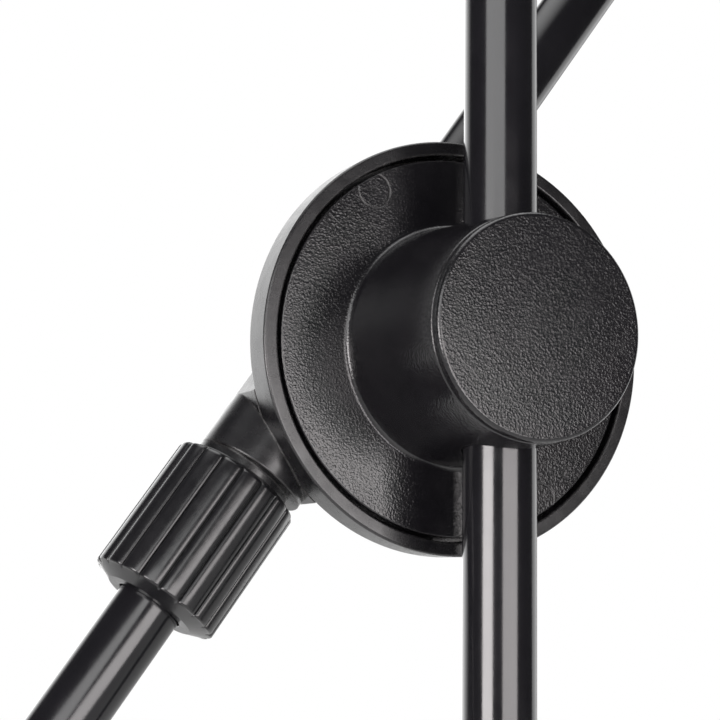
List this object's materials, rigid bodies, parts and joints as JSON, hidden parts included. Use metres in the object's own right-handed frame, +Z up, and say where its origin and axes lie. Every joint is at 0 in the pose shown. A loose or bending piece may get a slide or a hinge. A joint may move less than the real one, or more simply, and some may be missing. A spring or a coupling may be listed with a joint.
{
  "type": "boom microphone stand",
  "caption": "Tripod boom microphone stand: folding legs, telescopic upright, large round friction joint, clamped sliding boom.",
  "frame": {"origin": "on the floor, on the axis of the upright tube", "axes": "+Z up along the upright, +X the side the boom rises to, -Y the side the joint's hub faces"},
  "size_m": [0.52, 0.597, 1.4906],
  "materials": {
    "tube_paint": "satin black powder coat",
    "base_casting": "black painted die casting",
    "hub_plastic": "black moulded plastic with a fine leather grain",
    "housing_plastic": "smooth satin black moulding",
    "nut_plastic": "satin black moulding",
    "bearing_nylon": "dark grey nylon",
    "black_rubber": "matte black rubber",
    "zinc_steel": "zinc plated steel",
    "nickel_thread": "nickel plated turned steel",
    "brass_insert": "turned brass",
    "fibre_washer": "pressed fibre friction disc"
  },
  "bodies": {
    "base": {"base_hub": "base_casting", "leg_pins": "zinc_steel", "lock_plate": "base_casting", "base_bolt": "zinc_steel", "base_plug": "zinc_steel", "lower_tube": "tube_paint", "clutch_body": "nut_plastic", "clutch_collet": "bearing_nylon"},
    "clutch_nut": {"clutch_grip": "nut_plastic", "clutch_grip_cover": "black_rubber"},
    "leg_1": {"leg_1_knuckle": "base_casting", "leg_1_tube": "tube_paint", "leg_1_foot": "black_rubber"},
    "leg_2": {"leg_2_knuckle": "base_casting", "leg_2_tube": "tube_paint", "leg_2_foot": "black_rubber"},
    "leg_3": {"leg_3_knuckle": "base_casting", "leg_3_tube": "tube_paint", "leg_3_foot": "black_rubber"},
    "slide_bush": {"guide_bush": "bearing_nylon"},
    "upright": {"upright_tube": "tube_paint", "upright_plug": "bearing_nylon", "upright_cap": "nut_plastic", "bush_clip": "zinc_steel"},
    "liner": {"liner_sleeve": "bearing_nylon"},
    "hub": {"hub_disc": "hub_plastic", "hub_end_cap": "hub_plastic", "eye_bolt": "zinc_steel", "friction_washer": "fibre_washer"},
    "knob": {"rear_knob": "nut_plastic", "knob_insert": "brass_insert"},
    "housing": {"rear_housing": "housing_plastic", "barrel_bush": "bearing_nylon", "thrust_washer": "zinc_steel", "spring_washer": "zinc_steel"},
    "hand_nut": {"ribbed_nut": "nut_plastic"},
    "collet": {"boom_collet": "bearing_nylon"},
    "boom": {"boom_tube": "tube_paint", "boom_tail_cap": "black_rubber", "mic_plug": "zinc_steel", "thread_adapter": "nickel_thread"},
    "counter_ring": {"lock_ring": "nickel_thread"}
  },
  "joints": [
    {"name": "leg_1_fold", "type": "hinge", "parent": "base", "child": "leg_1", "pos_m": [0.034, 0, 0.092], "axis": [0, -1, 0], "range_deg": [0, 105]},
    {"name": "leg_2_fold", "type": "hinge", "parent": "base", "child": "leg_2", "pos_m": [-0.017, 0.02944, 0.092], "axis": [0.866, 0.5, 0], "range_deg": [0, 105]},
    {"name": "leg_3_fold", "type": "hinge", "parent": "base", "child": "leg_3", "pos_m": [-0.017, -0.02944, 0.092], "axis": [-0.866, 0.5, 0], "range_deg": [0, 105]},
    {"name": "height_slide", "type": "slide", "parent": "base", "child": "slide_bush", "axis": [0, 0, 1], "range_m": [-0.33, 0.08]},
    {"name": "upright_spin", "type": "hinge", "parent": "slide_bush", "child": "upright", "pos_m": [0, 0, 0.446], "axis": [0, 0, 1], "continuous": true},
    {"name": "clutch_twist", "type": "hinge", "parent": "base", "child": "clutch_nut", "pos_m": [0, 0, 0.58], "axis": [0, 0, 1], "range_deg": [0, 120]},
    {"name": "clamp_slide", "type": "slide", "parent": "upright", "child": "liner", "axis": [0, 0, -1], "range_m": [-0.06, 0.3]},
    {"name": "boom_pan", "type": "hinge", "parent": "liner", "child": "hub", "pos_m": [0, 0, 1], "axis": [0, 0, 1], "continuous": true},
    {"name": "boom_tilt", "type": "hinge", "parent": "hub", "child": "housing", "pos_m": [0, 0.0192, 1], "axis": [0, 1, 0], "continuous": true},
    {"name": "knob_twist", "type": "hinge", "parent": "hub", "child": "knob", "pos_m": [0, 0.06, 1], "axis": [0, 1, 0], "range_deg": [0, 360]},
    {"name": "nut_twist", "type": "hinge", "parent": "housing", "child": "hand_nut", "pos_m": [-0.05483, 0.0392, 0.95562], "axis": [0.5821, 0, 0.8131], "range_deg": [0, 180]},
    {"name": "boom_roll", "type": "hinge", "parent": "housing", "child": "collet", "pos_m": [-0.04726, 0.0392, 0.96619], "axis": [0.5821, 0, 0.8131], "continuous": true},
    {"name": "boom_slide", "type": "slide", "parent": "collet", "child": "boom", "axis": [0.5821, 0, 0.8131], "range_m": [-0.48, 0.07]},
    {"name": "counter_ring_twist", "type": "hinge", "parent": "boom", "child": "counter_ring", "pos_m": [0.31569, 0.0392, 1.47316], "axis": [0.5821, 0, 0.8131], "range_deg": [-180, 0]}
  ]
}
